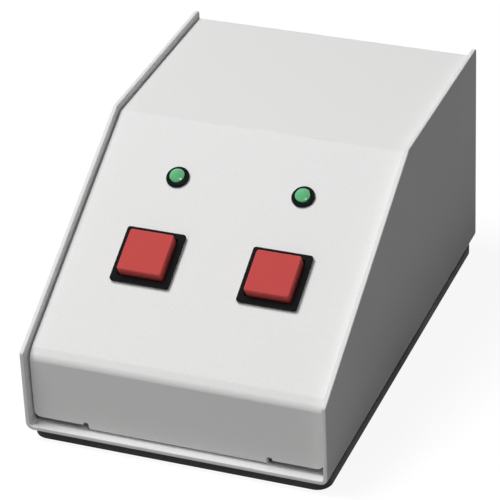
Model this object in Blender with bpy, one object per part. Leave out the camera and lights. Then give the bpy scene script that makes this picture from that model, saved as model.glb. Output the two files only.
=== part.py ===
"""Desk switch console: folded steel base and cover, two square push buttons and two green indicator lamps.

Units are metres. +X is to the right, +Y to the back and +Z up. The origin lies under the middle of the
whole console, the grommet at its back included, so it stands on Z = 0 and its front faces -Y.
"""

from math import atan2, ceil, cos, pi, radians, sin, tan

import bmesh
import bpy
from mathutils import Matrix, Vector

MM = 0.001

# Enclosure, measured over the side walls of the base
WIDTH = 101.6 * MM
DEPTH = 154.9 * MM
HEIGHT = 74.1 * MM
FRONT_HEIGHT = 28.8 * MM
SLOPE_DEPTH = 82.3 * MM

# Clearance between two pieces that touch on the real console
SEAT_GAP = 0.3 * MM

# How far a cutter reaches past what it cuts
CUT_OVER = 5.0 * MM

# Base pad of black rubber
PAD_THICKNESS = 3.7 * MM
PAD_SIDE_INSET = 0.8 * MM
PAD_FRONT_INSET = 2.0 * MM
PAD_BACK_INSET = 1.0 * MM
PAD_CORNER_RADIUS = 5.0 * MM
PAD_HOLE_RADIUS = 4.2 * MM

# Base, one folded sheet: a floor and two side walls
BASE_SHEET = 1.5 * MM
BASE_BEND_RADIUS = 2.6 * MM
WALL_CORNER_RADIUS = 1.2 * MM

# Cover, one folded sheet that drops between the side walls
COVER_SHEET = 1.5 * MM
COVER_RECESS = 2.5 * MM
COVER_SIDE_GAP = 0.55 * MM
COVER_BACK_INSET = 0.3 * MM
COVER_FRONT_BEND = 4.8 * MM
COVER_CREASE_BEND = 9.0 * MM
COVER_BACK_BEND = 1.9 * MM
COVER_CORNER_RADIUS = 2.5 * MM
FLANGE_LIFT = 1.95 * MM
FOOT_WIDTH = 60.0 * MM
FOOT_LENGTH = 14.0 * MM
FOOT_BEND = 1.9 * MM
RELIEF_WIDTH = 1.8 * MM
RELIEF_RISE = 0.1 * MM

# Screws that hold the cover's feet down on the floor, with nuts clinched into the feet
SCREW_RADIUS = 1.5 * MM
SCREW_HOLE_RADIUS = 1.8 * MM
SCREW_HEAD_RADIUS = 2.8 * MM
SCREW_HEAD_HEIGHT = 1.8 * MM
SCREW_HEAD_EDGE = 0.8 * MM
SCREW_CROWN_RADIUS = 1.75 * MM
SCREW_CROWN_DROP = 0.15 * MM
SCREW_END = 0.6 * MM
SCREW_SPACING = 40.0 * MM
SCREW_FROM_FLANGE = 8.0 * MM
RECESS_LENGTH = 3.2 * MM
RECESS_WIDTH = 0.7 * MM
RECESS_DEPTH = 0.9 * MM
NUT_RADIUS = 3.0 * MM
NUT_HEIGHT = 2.0 * MM

# Cable grommet in the back flange of the cover
GROMMET_HEIGHT = 18.0 * MM
GROMMET_BORE_RADIUS = 4.0 * MM
GROMMET_HOLE_RADIUS = 6.3 * MM
GROMMET_RIM_RADIUS = 8.0 * MM
GROMMET_RIM_THICKNESS = 1.8 * MM
GROMMET_ROUNDING = 0.7 * MM

# Places on the slope, measured up it from the front corner of the side walls
PAIR_SPACING = 42.8 * MM
BUTTON_UP = 41.5 * MM
LAMP_UP = 72.2 * MM

# Push button: bezel housing
BEZEL_SIZE = 20.0 * MM
BEZEL_THICKNESS = 1.2 * MM
BEZEL_CORNER_RADIUS = 0.9 * MM
BEZEL_EDGE_BEVEL = 0.35 * MM
WELL_SIZE = 15.6 * MM
BARREL_WALL = 0.8 * MM
WELL_DEPTH = 6.5 * MM
NECK_SIZE = 12.6 * MM
NECK_THICKNESS = 2.0 * MM
BARREL_LENGTH = 21.0 * MM
LUG_WIDTH = 6.0 * MM
LUG_REACH = 0.8 * MM
LUG_HEIGHT = 2.2 * MM

# Push button: red cap, plunger and spring
BUTTON_TRAVEL = 2.5 * MM
CAP_SIZE = 15.0 * MM
CAP_ABOVE_PANEL = 4.6 * MM
CAP_TOP_THICKNESS = 1.5 * MM
CAP_CORNER_RADIUS = 0.9 * MM
CAP_EDGE_BEVEL = 0.45 * MM
CAP_EDGE_STEPS = 3
CAP_DISH_MARGIN = 1.5 * MM
CAP_DISH_DEPTH = 0.15 * MM
SHOULDER_SIZE = 14.8 * MM
SHOULDER_THICKNESS = 2.0 * MM
STEM_RADIUS = 2.0 * MM
STEM_LENGTH = 14.2 * MM
SPRING_RADIUS = 4.0 * MM
SPRING_WIRE_RADIUS = 0.3 * MM
SPRING_TURNS = 5.5
SPRING_POINTS_PER_TURN = 14

# Push button: contact block, terminals and panel clip
BLOCK_LENGTH = 10.0 * MM
BLOCK_BORE_RADIUS = 2.4 * MM
BLOCK_BORE_DEPTH = 6.2 * MM
BLOCK_EDGE_BEVEL = 0.5 * MM
BLADE_WIDTH = 2.8 * MM
BLADE_THICKNESS = 0.5 * MM
BLADE_LENGTH = 8.5 * MM
BLADE_SEAT = 2.0 * MM
BLADE_PITCH = 8.0 * MM
BLADE_ROUNDING = 1.1 * MM
BLADE_EYE_RADIUS = 0.6 * MM
CLIP_RIM = 1.3 * MM
CLIP_THICKNESS = 1.2 * MM

# Indicator lamp
LAMP_FLANGE_RADIUS = 3.85 * MM
LAMP_FLANGE_HEIGHT = 1.1 * MM
LAMP_CROWN_SHIFT = 0.1 * MM
LAMP_CROWN_FLAT = 0.02 * MM
LAMP_TUBE_RADIUS = 3.2 * MM
LAMP_TUBE_LENGTH = 8.5 * MM
LAMP_SLOT_WIDTH = 0.8 * MM
LAMP_SLOT_LENGTH = 3.2 * MM
LENS_RADIUS = 2.5 * MM
LENS_TOP = 2.3 * MM
LENS_RIM_ROUNDING = 0.7 * MM
LENS_CROWN = 0.15 * MM
LENS_SEAT_DEPTH = 1.2 * MM
LENS_GAP = 0.25 * MM
LED_RADIUS = 1.5 * MM
LED_FLANGE_RADIUS = 1.9 * MM
LED_FLANGE_THICKNESS = 1.0 * MM
LEAD_PITCH = 2.54 * MM
LEAD_WIDTH = 0.5 * MM
LEAD_LENGTH = 14.0 * MM
LEAD_STEP = 2.0 * MM
COLLAR_RADIUS = 5.0 * MM
COLLAR_LENGTH = 3.0 * MM
COLLAR_CHAMFER = 0.5 * MM

# Barrier terminal strip on the floor, where the cable's wires end
STRIP_FROM_BACK = 38.0 * MM
STRIP_WAYS = 4
STRIP_PITCH = 9.5 * MM
STRIP_WIDTH = 18.0 * MM
STRIP_BARRIER = 1.4 * MM
STRIP_HEIGHT = 11.0 * MM
STRIP_DECK = 6.0 * MM
STRIP_EAR = 8.0 * MM
STRIP_EAR_HEIGHT = 3.0 * MM
LINK_WIDTH = 6.4 * MM
LINK_LENGTH = 15.0 * MM
LINK_THICKNESS = 0.8 * MM
LINK_SCREW_SPACING = 9.0 * MM
LINK_SCREW_RADIUS = 2.6 * MM
LINK_SCREW_HEIGHT = 1.5 * MM

# Values that follow from those above
SLOPE = atan2(HEIGHT - FRONT_HEIGHT, SLOPE_DEPTH)
BASE_BOTTOM = PAD_THICKNESS + SEAT_GAP
GROMMET_OVERHANG = SEAT_GAP + GROMMET_RIM_THICKNESS - COVER_BACK_INSET
FRONT = -(DEPTH + GROMMET_OVERHANG) / 2
BACK = FRONT + DEPTH
FLOOR_TOP = BASE_BOTTOM + BASE_SHEET
FOOT_BOTTOM = FLOOR_TOP + SEAT_GAP
COVER_FRONT = FRONT + COVER_RECESS
COVER_BACK = BACK - COVER_BACK_INSET
COVER_TOP = BASE_BOTTOM + HEIGHT - COVER_RECESS
COVER_WIDTH = WIDTH - 2 * BASE_SHEET - 2 * COVER_SIDE_GAP
BARREL_SIZE = WELL_SIZE + 2 * BARREL_WALL
PANEL_HOLE = BARREL_SIZE + 2 * SEAT_GAP
BEZEL_TOP = SEAT_GAP + BEZEL_THICKNESS
NECK_TOP = BEZEL_TOP - WELL_DEPTH
NECK_BOTTOM = NECK_TOP - NECK_THICKNESS
CAP_BOTTOM = NECK_TOP + SEAT_GAP + BUTTON_TRAVEL
CAP_CAVITY = NECK_SIZE
PLUNGER_SIZE = NECK_SIZE - 2 * SEAT_GAP
SHOULDER_TOP = NECK_BOTTOM - SEAT_GAP
SHOULDER_BOTTOM = SHOULDER_TOP - SHOULDER_THICKNESS
BLOCK_TOP = -BARREL_LENGTH - SEAT_GAP
BLOCK_BOTTOM = BLOCK_TOP - BLOCK_LENGTH
LENS_BORE_RADIUS = LENS_RADIUS + LENS_GAP
LED_BORE_RADIUS = LED_RADIUS + LENS_GAP
LAMP_HOLE_RADIUS = LAMP_TUBE_RADIUS + SEAT_GAP
STRIP_Y = BACK - STRIP_FROM_BACK
STRIP_BOTTOM = FLOOR_TOP + SEAT_GAP
STRIP_LENGTH = STRIP_WAYS * STRIP_PITCH + STRIP_BARRIER

ARC_STEP = radians(15)
FINE_SIDES = 24
SMALL_SIDES = 12
EYE_SIDES = 8


def clear_scene():
    """Removes every object of the open scene."""
    for obj in list(bpy.data.objects):
        bpy.data.objects.remove(obj, do_unlink=True)


def plain_material(name, color, roughness, metallic=0.0):
    """Returns a Principled material of one colour."""
    material = bpy.data.materials.new(name)
    material.use_nodes = True
    shader = material.node_tree.nodes["Principled BSDF"]
    shader.inputs["Base Color"].default_value = (*color, 1.0)
    shader.inputs["Roughness"].default_value = roughness
    shader.inputs["Metallic"].default_value = metallic
    return material


# Outlines

def arc(center, radius, start, end, widest=ARC_STEP):
    """Returns points along an arc, with steps no wider than the given angle."""
    steps = max(2, ceil(abs(end - start) / widest))
    angles = [start + (end - start) * step / steps for step in range(steps + 1)]
    return [(center[0] + radius * cos(a), center[1] + radius * sin(a)) for a in angles]


def circle(center, radius, sides=FINE_SIDES):
    """Returns the outline of a circle."""
    return arc(center, radius, 0, 2 * pi, 2 * pi / sides)[:-1]


def rounded_corner(before, corner, after, radius):
    """Returns the points that round one corner of an outline with the given radius."""
    if radius <= 0:
        return [corner]
    corner = Vector(corner)
    inward = (Vector(before) - corner).normalized()
    outward = (Vector(after) - corner).normalized()
    half = inward.angle(outward) / 2
    center = corner + (inward + outward).normalized() * radius / sin(half)
    first = corner + inward * radius / tan(half) - center
    last = corner + outward * radius / tan(half) - center
    start = atan2(first.y, first.x)
    turn = (atan2(last.y, last.x) - start + pi) % (2 * pi) - pi
    return arc(center, radius, start, start + turn)


def rounded_outline(points, radii):
    """Returns a closed outline with each corner rounded by its own radius."""
    outline = []
    count = len(points)
    for index, (corner, radius) in enumerate(zip(points, radii)):
        outline += rounded_corner(points[index - 1], corner, points[(index + 1) % count], radius)
    return outline


def rounded_path(points, radii):
    """Returns an open path whose inner corners are rounded."""
    path = [points[0]]
    for before, corner, after, radius in zip(points, points[1:], points[2:], radii):
        path += rounded_corner(before, corner, after, radius)
    return path + [points[-1]]


def offset_path(points, distance):
    """Returns the open path moved sideways, to its left, with mitred corners."""
    normals = []
    for start, end in zip(points, points[1:]):
        run = (Vector(end) - Vector(start)).normalized()
        normals.append(Vector((-run.y, run.x)))
    moved = [Vector(points[0]) + normals[0] * distance]
    for point, one, other in zip(points[1:], normals, normals[1:]):
        moved.append(Vector(point) + (one + other) * distance / (1 + one.dot(other)))
    moved.append(Vector(points[-1]) + normals[-1] * distance)
    return [tuple(point) for point in moved]


def folded_sheet(path, bend_radii, thickness):
    """Returns the outline of a sheet folded along a path of its outer face.

    The sheet's thickness lies to the left of the path, and the radii are those of the outer face.
    """
    outer = rounded_path(path, bend_radii)
    inner = rounded_path(offset_path(path, thickness), [radius - thickness for radius in bend_radii])
    return outer + inner[::-1]


def rectangle(width, depth, center=(0.0, 0.0)):
    """Returns the four corners of a rectangle."""
    x, y = center
    half_x, half_y = width / 2, depth / 2
    return [(x - half_x, y - half_y), (x + half_x, y - half_y), (x + half_x, y + half_y), (x - half_x, y + half_y)]


def rounded_square(size, radius):
    """Returns the outline of a square with rounded corners."""
    return rounded_outline(rectangle(size, size), [radius] * 4)


# Solids

def extruded(bm, outline, low, high, axis="Z"):
    """Adds a prism to a bmesh: the outline in the plane across the axis, from low to high along it."""
    place = {
        "X": lambda u, v: (low, u, v),
        "Y": lambda u, v: (u, low, v),
        "Z": lambda u, v: (u, v, low),
    }[axis]
    face = bm.faces.new([bm.verts.new(place(u, v)) for u, v in outline])
    made = bmesh.ops.extrude_face_region(bm, geom=[face])["geom"]
    direction = Vector([float(axis == name) for name in "XYZ"])
    top = [item for item in made if isinstance(item, bmesh.types.BMVert)]
    bmesh.ops.translate(bm, verts=top, vec=direction * (high - low))
    return top


def lofted(bm, sections):
    """Adds a solid through square-like sections of equal point counts, each an outline and its height."""
    loops = []
    for outline, height in sections:
        verts = [bm.verts.new((u, v, height)) for u, v in outline]
        edges = [bm.edges.new((a, b)) for a, b in zip(verts, verts[1:] + verts[:1])]
        loops.append((verts, edges))
    for (_, lower), (_, upper) in zip(loops, loops[1:]):
        bmesh.ops.bridge_loops(bm, edges=lower + upper)
    bm.faces.new(loops[0][0])
    bm.faces.new(loops[-1][0])


def turned(bm, outline, sides, center=(0.0, 0.0, 0.0), axis=(0.0, 0.0, 1.0)):
    """Adds a solid of revolution. The closed outline holds (radius, height) points along the axis."""
    turn = Vector((0.0, 0.0, 1.0)).rotation_difference(Vector(axis)).to_matrix()
    center = Vector(center)
    verts = [bm.verts.new(center + turn @ Vector((radius, 0.0, height))) for radius, height in outline]
    edges = [bm.edges.new((a, b)) for a, b in zip(verts, verts[1:] + verts[:1])]
    bmesh.ops.spin(bm, geom=verts + edges, cent=center, axis=axis, angle=2 * pi, steps=sides, use_merge=True)
    bmesh.ops.remove_doubles(bm, verts=bm.verts[:], dist=1e-7)
    lone = [edge for edge in bm.edges if not edge.link_faces]
    bmesh.ops.delete(bm, geom=lone, context="EDGES")


def finished(name, bm, material=None, parent=None):
    """Turns a bmesh into an object of the scene, shaded smooth up to 35 degrees."""
    bmesh.ops.recalc_face_normals(bm, faces=bm.faces[:])
    mesh = bpy.data.meshes.new(name)
    bm.to_mesh(mesh)
    bm.free()
    mesh.shade_smooth()
    mesh.set_sharp_from_angle(angle=radians(35))
    obj = bpy.data.objects.new(name, mesh)
    bpy.context.scene.collection.objects.link(obj)
    if material:
        mesh.materials.append(material)
    obj.parent = parent
    return obj


def prism(name, outline, low, high, material=None, axis="Z", parent=None):
    """Makes an object that is one prism."""
    bm = bmesh.new()
    extruded(bm, outline, low, high, axis)
    return finished(name, bm, material, parent)


def lathe(name, outline, sides, material=None, parent=None, center=(0.0, 0.0, 0.0), axis=(0.0, 0.0, 1.0)):
    """Makes an object that is one solid of revolution."""
    bm = bmesh.new()
    turned(bm, outline, sides, center, axis)
    return finished(name, bm, material, parent)


def combined(target, tool, operation="DIFFERENCE"):
    """Cuts, joins or trims the target with a tool object, which stays in the scene as a hidden wire."""
    tool.hide_render = True
    tool.display_type = "WIRE"
    modifier = target.modifiers.new(operation.capitalize(), "BOOLEAN")
    modifier.operation = operation
    modifier.solver = "EXACT"
    modifier.object = tool
    return target


def bevelled(obj, width, segments=1, angle=40):
    """Breaks the sharp edges of an object."""
    modifier = obj.modifiers.new("Edges", "BEVEL")
    modifier.width = width
    modifier.segments = segments
    modifier.limit_method = "ANGLE"
    modifier.angle_limit = radians(angle)
    return obj


def side_outline():
    """Returns the side view of the base's walls, seen along X."""
    points = [
        (FRONT, BASE_BOTTOM),
        (BACK, BASE_BOTTOM),
        (BACK, BASE_BOTTOM + HEIGHT),
        (FRONT + SLOPE_DEPTH, BASE_BOTTOM + HEIGHT),
        (FRONT, BASE_BOTTOM + FRONT_HEIGHT),
    ]
    return rounded_outline(points, [0, 0] + [WALL_CORNER_RADIUS] * 3)


def cover_path():
    """Returns the outer face of the cover in side view, from the front foot to the back foot.

    The slope of the cover lies COVER_RECESS under the slope of the walls, measured square to it.
    """
    lowered = COVER_RECESS / cos(SLOPE)
    corner_z = BASE_BOTTOM + FRONT_HEIGHT + COVER_RECESS * tan(SLOPE) - lowered
    crease_y = FRONT + (COVER_TOP - BASE_BOTTOM - FRONT_HEIGHT + lowered) / tan(SLOPE)
    return [
        (COVER_BACK - FOOT_LENGTH, FOOT_BOTTOM),
        (COVER_BACK, FOOT_BOTTOM),
        (COVER_BACK, COVER_TOP),
        (crease_y, COVER_TOP),
        (COVER_FRONT, corner_z),
        (COVER_FRONT, FOOT_BOTTOM),
        (COVER_FRONT + FOOT_LENGTH, FOOT_BOTTOM),
    ]


def panel_place(name, x, up):
    """Makes an empty on the cover's slope, with its local Z square out of the panel and Y up the slope."""
    place = bpy.data.objects.new(name, None)
    place.empty_display_size = 5 * MM
    y = FRONT + up * cos(SLOPE) + COVER_RECESS * sin(SLOPE)
    z = BASE_BOTTOM + FRONT_HEIGHT + up * sin(SLOPE) - COVER_RECESS * cos(SLOPE)
    place.location = (x, y, z)
    place.rotation_euler = (SLOPE, 0.0, 0.0)
    bpy.context.scene.collection.objects.link(place)
    return place


def screw_places():
    """Returns the X and Y of the four cover screws, by name."""
    rows = {"front": COVER_FRONT + SCREW_FROM_FLANGE, "back": COVER_BACK - SCREW_FROM_FLANGE}
    columns = {"left": -SCREW_SPACING / 2, "right": SCREW_SPACING / 2}
    return {f"{row}_{column}": (x, y) for row, y in rows.items() for column, x in columns.items()}


def ear_places():
    """Returns the X and Y of the two screws in the ears of the terminal strip, by name."""
    reach = (STRIP_LENGTH + STRIP_EAR) / 2
    return {"left": (-reach, STRIP_Y), "right": (reach, STRIP_Y)}


def hole_tool(name, places, radius, low, high):
    """Makes upright round cutters at several named places, as one tool object."""
    bm = bmesh.new()
    for x, y in places.values():
        extruded(bm, circle((x, y), radius), low, high)
    return finished(name, bm)


def pan_screw(name, place, underside, tip, material):
    """Makes an upright pan head screw with a cross recess.

    The underside is the height where its head meets the work. The tip may lie above or below it.
    """
    way = 1 if tip > underside else -1
    outline = [
        (0.0, underside - way * SCREW_HEAD_HEIGHT),
        (SCREW_CROWN_RADIUS, underside - way * (SCREW_HEAD_HEIGHT - SCREW_CROWN_DROP)),
        (SCREW_HEAD_RADIUS, underside - way * SCREW_HEAD_EDGE),
        (SCREW_HEAD_RADIUS, underside),
        (SCREW_RADIUS, underside),
        (SCREW_RADIUS, tip),
        (0.0, tip),
    ]
    screw = lathe(name, outline, SMALL_SIDES, material, center=(*place, 0.0))
    face = underside - way * SCREW_HEAD_HEIGHT
    low, high = sorted((face + way * RECESS_DEPTH, face - way * MM))
    return combined(screw, prism(f"{name}_recess", cross_outline(place), low, high))


def cross_outline(place):
    """Returns the outline of a cross recess around a place."""
    arm, half = RECESS_LENGTH / 2, RECESS_WIDTH / 2
    outline = []
    for quarter in range(4):
        turn = Matrix.Rotation(quarter * pi / 2, 2)
        outline += [tuple(Vector(place) + turn @ Vector(corner)) for corner in ((arm, -half), (arm, half), (half, half))]
    return outline


# Enclosure

def make_base_pad(material):
    """Makes the rubber pad that the console stands on."""
    left, right = -WIDTH / 2 + PAD_SIDE_INSET, WIDTH / 2 - PAD_SIDE_INSET
    front, back = FRONT + PAD_FRONT_INSET, BACK - PAD_BACK_INSET
    corners = [(left, front), (right, front), (right, back), (left, back)]
    pad = prism("base_pad", rounded_outline(corners, [PAD_CORNER_RADIUS] * 4), 0.0, PAD_THICKNESS, material)
    return combined(pad, hole_tool("pad_holes", screw_places(), PAD_HOLE_RADIUS, -MM, PAD_THICKNESS + MM))


def make_base_chassis(material):
    """Makes the base: a U-shaped sheet, trimmed to the side view of the console."""
    half, top = WIDTH / 2, BASE_BOTTOM + HEIGHT
    path = [(-half, top), (-half, BASE_BOTTOM), (half, BASE_BOTTOM), (half, top)]
    outline = folded_sheet(path, [BASE_BEND_RADIUS] * 2, BASE_SHEET)
    base = prism("base_chassis", outline, FRONT, BACK, material, axis="Y")
    trim = prism("wall_outline", wall_trim(), -half - CUT_OVER, half + CUT_OVER, axis="X")
    combined(base, trim)
    low, high = BASE_BOTTOM - MM, FLOOR_TOP + MM
    combined(base, hole_tool("floor_holes", screw_places(), SCREW_HOLE_RADIUS, low, high))
    return combined(base, hole_tool("strip_holes", ear_places(), SCREW_HOLE_RADIUS, low, high))


def wall_trim():
    """Returns what is cut off a plain U of sheet to leave the walls' slope and rounded corners."""
    profile = side_outline()[2:]
    front, back, above = FRONT - CUT_OVER, BACK + CUT_OVER, BASE_BOTTOM + HEIGHT + CUT_OVER
    return profile + [(front, profile[-1][1]), (front, above), (back, above), (back, profile[0][1])]


def front_stencil():
    """Returns the front view of the cover: rounded lower corners, bend reliefs and the foot between them."""
    half, top = COVER_WIDTH / 2, COVER_TOP + CUT_OVER
    foot, edge = FOOT_WIDTH / 2, FOOT_BOTTOM + FLANGE_LIFT
    relief_top = edge + RELIEF_RISE
    middle = foot + RELIEF_WIDTH / 2
    right = [(half, top), (half, edge), (foot + RELIEF_WIDTH, edge), (foot + RELIEF_WIDTH, relief_top)]
    right_round = [0, COVER_CORNER_RADIUS, 0, 0]
    crown = arc((middle, relief_top), RELIEF_WIDTH / 2, 0, pi)[1:-1]
    low = [(foot, relief_top), (foot, FOOT_BOTTOM - MM)]
    points = right + crown + low
    radii = right_round + [0] * (len(crown) + len(low))
    mirrored = [(-x, z) for x, z in reversed(points)]
    return rounded_outline(points + mirrored, radii + radii[::-1])


def make_cover(material, panel_places, lamp_places):
    """Makes the cover: one strip folded front to back, trimmed to its front view, with its holes."""
    bends = [FOOT_BEND, COVER_BACK_BEND, COVER_CREASE_BEND, COVER_FRONT_BEND, FOOT_BEND]
    half = COVER_WIDTH / 2
    outline = folded_sheet(cover_path(), bends, COVER_SHEET)
    cover = prism("cover", outline, -half - MM, half + MM, material, axis="X")
    stencil = prism("cover_stencil", front_stencil(), FRONT - CUT_OVER, BACK + CUT_OVER, axis="Y")
    combined(cover, stencil, "INTERSECT")
    under = -COVER_SHEET - CUT_OVER
    for number, place in enumerate(panel_places):
        square = rectangle(PANEL_HOLE, PANEL_HOLE)
        combined(cover, prism(f"button_hole_{number}", square, under, CUT_OVER, parent=place))
    for number, place in enumerate(lamp_places):
        round_hole = circle((0, 0), LAMP_HOLE_RADIUS)
        combined(cover, prism(f"lamp_hole_{number}", round_hole, under, CUT_OVER, parent=place))
    cable = circle((0, FLOOR_TOP + GROMMET_HEIGHT), GROMMET_HOLE_RADIUS)
    combined(cover, prism("cable_hole", cable, COVER_BACK + under, COVER_BACK + CUT_OVER, axis="Y"))
    low, high = FOOT_BOTTOM - MM, FOOT_BOTTOM + COVER_SHEET + MM
    return combined(cover, hole_tool("foot_holes", screw_places(), SCREW_HOLE_RADIUS, low, high))


def make_cover_fixings(material):
    """Makes the four screws that come up through the floor, and the nuts clinched into the cover's feet."""
    underside = BASE_BOTTOM - SEAT_GAP
    seat = FOOT_BOTTOM + COVER_SHEET + SEAT_GAP
    tip = seat + NUT_HEIGHT + SCREW_END
    for name, (x, y) in screw_places().items():
        pan_screw(f"cover_screw_{name}", (x, y), underside, tip, material)
        hexagon = [(x + NUT_RADIUS * cos(side * pi / 3), y + NUT_RADIUS * sin(side * pi / 3)) for side in range(6)]
        nut = prism(f"clinch_nut_{name}", hexagon, seat, seat + NUT_HEIGHT, material)
        combined(nut, hole_tool(f"{name}_nut_bore", {name: (x, y)}, SCREW_HOLE_RADIUS, seat - MM, seat + NUT_HEIGHT + MM))


def make_cable_grommet(material):
    """Makes the rubber grommet, turned about Y, with a groove for the cover's back flange."""
    groove = GROMMET_HOLE_RADIUS - SEAT_GAP
    outer = COVER_BACK + SEAT_GAP
    inner = COVER_BACK - COVER_SHEET - SEAT_GAP
    rim, bore, soft = GROMMET_RIM_RADIUS, GROMMET_BORE_RADIUS, GROMMET_ROUNDING
    corners = [
        (bore, inner - GROMMET_RIM_THICKNESS),
        (rim, inner - GROMMET_RIM_THICKNESS),
        (rim, inner),
        (groove, inner),
        (groove, outer),
        (rim, outer),
        (rim, outer + GROMMET_RIM_THICKNESS),
        (bore, outer + GROMMET_RIM_THICKNESS),
    ]
    outline = rounded_outline(corners, [soft, soft, 0, 0, 0, 0, soft, soft])
    center = (0.0, 0.0, FLOOR_TOP + GROMMET_HEIGHT)
    return lathe("cable_grommet", outline, FINE_SIDES, material, center=center, axis=(0.0, 1.0, 0.0))


# Push buttons

def make_bezel(side, place, material):
    """Makes the bezel housing: flange, well for the cap, neck that guides the plunger, and chamber below it."""
    bm = bmesh.new()
    edge = BEZEL_EDGE_BEVEL
    full = rounded_square(BEZEL_SIZE, BEZEL_CORNER_RADIUS)
    eased = rounded_square(BEZEL_SIZE - 2 * edge, BEZEL_CORNER_RADIUS - edge / 2)
    lofted(bm, [(full, SEAT_GAP), (full, BEZEL_TOP - edge), (eased, BEZEL_TOP)])
    bezel = finished(f"{side}_button_bezel", bm, material, place)
    barrel = prism(f"{side}_barrel", rectangle(BARREL_SIZE, BARREL_SIZE), -BARREL_LENGTH, BEZEL_TOP / 2, parent=place)
    combined(bezel, barrel, "UNION")
    lugs = bmesh.new()
    reach = BARREL_SIZE / 2 + LUG_REACH
    lug_top = -COVER_SHEET - 2 * SEAT_GAP - CLIP_THICKNESS
    wedge = [(0.0, lug_top), (reach, lug_top), (BARREL_SIZE / 2, lug_top - LUG_HEIGHT), (0.0, lug_top - LUG_HEIGHT)]
    whole = wedge + [(-x, z) for x, z in reversed(wedge) if x]
    extruded(lugs, whole, -LUG_WIDTH / 2, LUG_WIDTH / 2, "Y")
    bmesh.ops.remove_doubles(lugs, verts=lugs.verts[:], dist=1e-7)
    combined(bezel, finished(f"{side}_lugs", lugs, parent=place), "UNION")
    well = prism(f"{side}_well", rectangle(WELL_SIZE, WELL_SIZE), NECK_TOP, BEZEL_TOP + MM, parent=place)
    neck = prism(f"{side}_neck", rectangle(NECK_SIZE, NECK_SIZE), NECK_BOTTOM - MM, NECK_TOP + MM, parent=place)
    low = -BARREL_LENGTH - MM
    chamber = prism(f"{side}_chamber", rectangle(WELL_SIZE, WELL_SIZE), low, NECK_BOTTOM, parent=place)
    for tool in (well, neck, chamber):
        combined(bezel, tool)
    return bezel


def make_cap(side, place, material):
    """Makes the red cap: a square moulded shell with a softened edge and a faintly dished top, open underneath."""
    bm = bmesh.new()
    full = rounded_square(CAP_SIZE, CAP_CORNER_RADIUS)
    sections = [(full, CAP_BOTTOM)]
    for step in range(CAP_EDGE_STEPS + 1):
        angle = step / CAP_EDGE_STEPS * pi / 2
        inset = CAP_EDGE_BEVEL * (1 - cos(angle))
        height = CAP_ABOVE_PANEL - CAP_EDGE_BEVEL * (1 - sin(angle))
        outline = rounded_square(CAP_SIZE - 2 * inset, CAP_CORNER_RADIUS - inset / 2)
        sections.append((outline, height))
    dish = rounded_square(CAP_SIZE - 2 * CAP_DISH_MARGIN, CAP_CORNER_RADIUS)
    sections.append((dish, CAP_ABOVE_PANEL - CAP_DISH_DEPTH))
    lofted(bm, sections)
    cap = finished(f"{side}_button_cap", bm, material, place)
    ceiling = CAP_ABOVE_PANEL - CAP_TOP_THICKNESS
    cavity = prism(f"{side}_cap_cavity", rectangle(CAP_CAVITY, CAP_CAVITY), CAP_BOTTOM - MM, ceiling, parent=place)
    return combined(cap, cavity)


def make_plunger(side, place, material):
    """Makes the plunger: a column in the cap, a shoulder that stops under the neck, and a round stem."""
    column_top = CAP_ABOVE_PANEL - CAP_TOP_THICKNESS - SEAT_GAP
    plunger = prism(
        f"{side}_button_plunger",
        rectangle(PLUNGER_SIZE, PLUNGER_SIZE),
        SHOULDER_TOP - MM,
        column_top,
        material,
        parent=place,
    )
    shoulder = prism(
        f"{side}_shoulder", rectangle(SHOULDER_SIZE, SHOULDER_SIZE), SHOULDER_BOTTOM, SHOULDER_TOP, parent=place
    )
    combined(plunger, shoulder, "UNION")
    round_stem = circle((0, 0), STEM_RADIUS)
    stem = prism(f"{side}_stem", round_stem, SHOULDER_BOTTOM - STEM_LENGTH, SHOULDER_TOP - MM, parent=place)
    return combined(plunger, stem, "UNION")


def make_spring(side, place, material):
    """Makes the return spring, a wound wire whose end turns lie flat, from the block up to the shoulder."""
    curve = bpy.data.curves.new(f"{side}_return_spring", "CURVE")
    curve.dimensions = "3D"
    curve.bevel_depth = SPRING_WIRE_RADIUS
    curve.bevel_resolution = 1
    curve.use_fill_caps = True
    low = BLOCK_TOP + SEAT_GAP + SPRING_WIRE_RADIUS
    high = SHOULDER_BOTTOM - SEAT_GAP - SPRING_WIRE_RADIUS
    steps = int(SPRING_TURNS * SPRING_POINTS_PER_TURN)
    spline = curve.splines.new("POLY")
    spline.points.add(steps)
    for step in range(steps + 1):
        share = step / steps
        rise = share * share * (3 - 2 * share)
        angle = share * SPRING_TURNS * 2 * pi
        x, y = SPRING_RADIUS * cos(angle), SPRING_RADIUS * sin(angle)
        spline.points[step].co = (x, y, low + (high - low) * rise, 1.0)
    spring = bpy.data.objects.new(f"{side}_return_spring", curve)
    curve.materials.append(material)
    bpy.context.scene.collection.objects.link(spring)
    spring.parent = place
    return spring


def blade_places():
    """Returns the X of the two terminals under a contact block, by letter."""
    return {"a": -BLADE_PITCH / 2, "b": BLADE_PITCH / 2}


def make_contact_block(side, place, material):
    """Makes the contact block that closes the barrel, with a bore for the stem and slots for the terminals."""
    outline = rectangle(BARREL_SIZE, BARREL_SIZE)
    block = prism(f"{side}_contact_block", outline, BLOCK_BOTTOM, BLOCK_TOP, material, parent=place)
    bevelled(block, BLOCK_EDGE_BEVEL)
    round_bore = circle((0, 0), BLOCK_BORE_RADIUS)
    combined(block, prism(f"{side}_bore", round_bore, BLOCK_TOP - BLOCK_BORE_DEPTH, BLOCK_TOP + MM, parent=place))
    slots = bmesh.new()
    slot_top = BLOCK_BOTTOM + BLADE_SEAT + SEAT_GAP
    for x in blade_places().values():
        slot = rectangle(BLADE_WIDTH + 2 * SEAT_GAP, BLADE_THICKNESS + 2 * SEAT_GAP, (x, 0.0))
        extruded(slots, slot, BLOCK_BOTTOM - MM, slot_top)
    return combined(block, finished(f"{side}_slots", slots, parent=place))


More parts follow.
